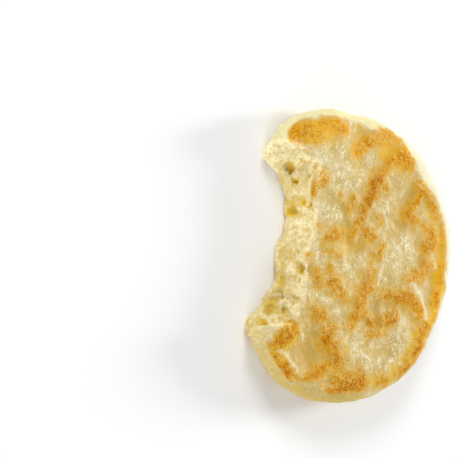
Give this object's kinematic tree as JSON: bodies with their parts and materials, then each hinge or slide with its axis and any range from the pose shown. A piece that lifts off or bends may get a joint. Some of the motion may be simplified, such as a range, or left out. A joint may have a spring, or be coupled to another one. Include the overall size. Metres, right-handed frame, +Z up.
{
  "type": "blini",
  "caption": "Thick round yeast pancake with a browned, unevenly marbled upper face, a pale rounded rim and a bite torn out of one side, lying flat on its underside.",
  "frame": {"origin": "under the middle of the bounding box, on the surface that the blini lies on", "axes": "+Z up out of the browned upper face; the bite is on the -Y side"},
  "size_m": [0.09, 0.0794, 0.0133],
  "materials": {
    "blini": "pan-baked batter: pale yellow, soft and slightly greasy, with golden-brown browning on the raised parts of the faces and a pale open crumb in the bite"
  },
  "bodies": {
    "root": {"blini": "blini"}
  },
  "joints": []
}
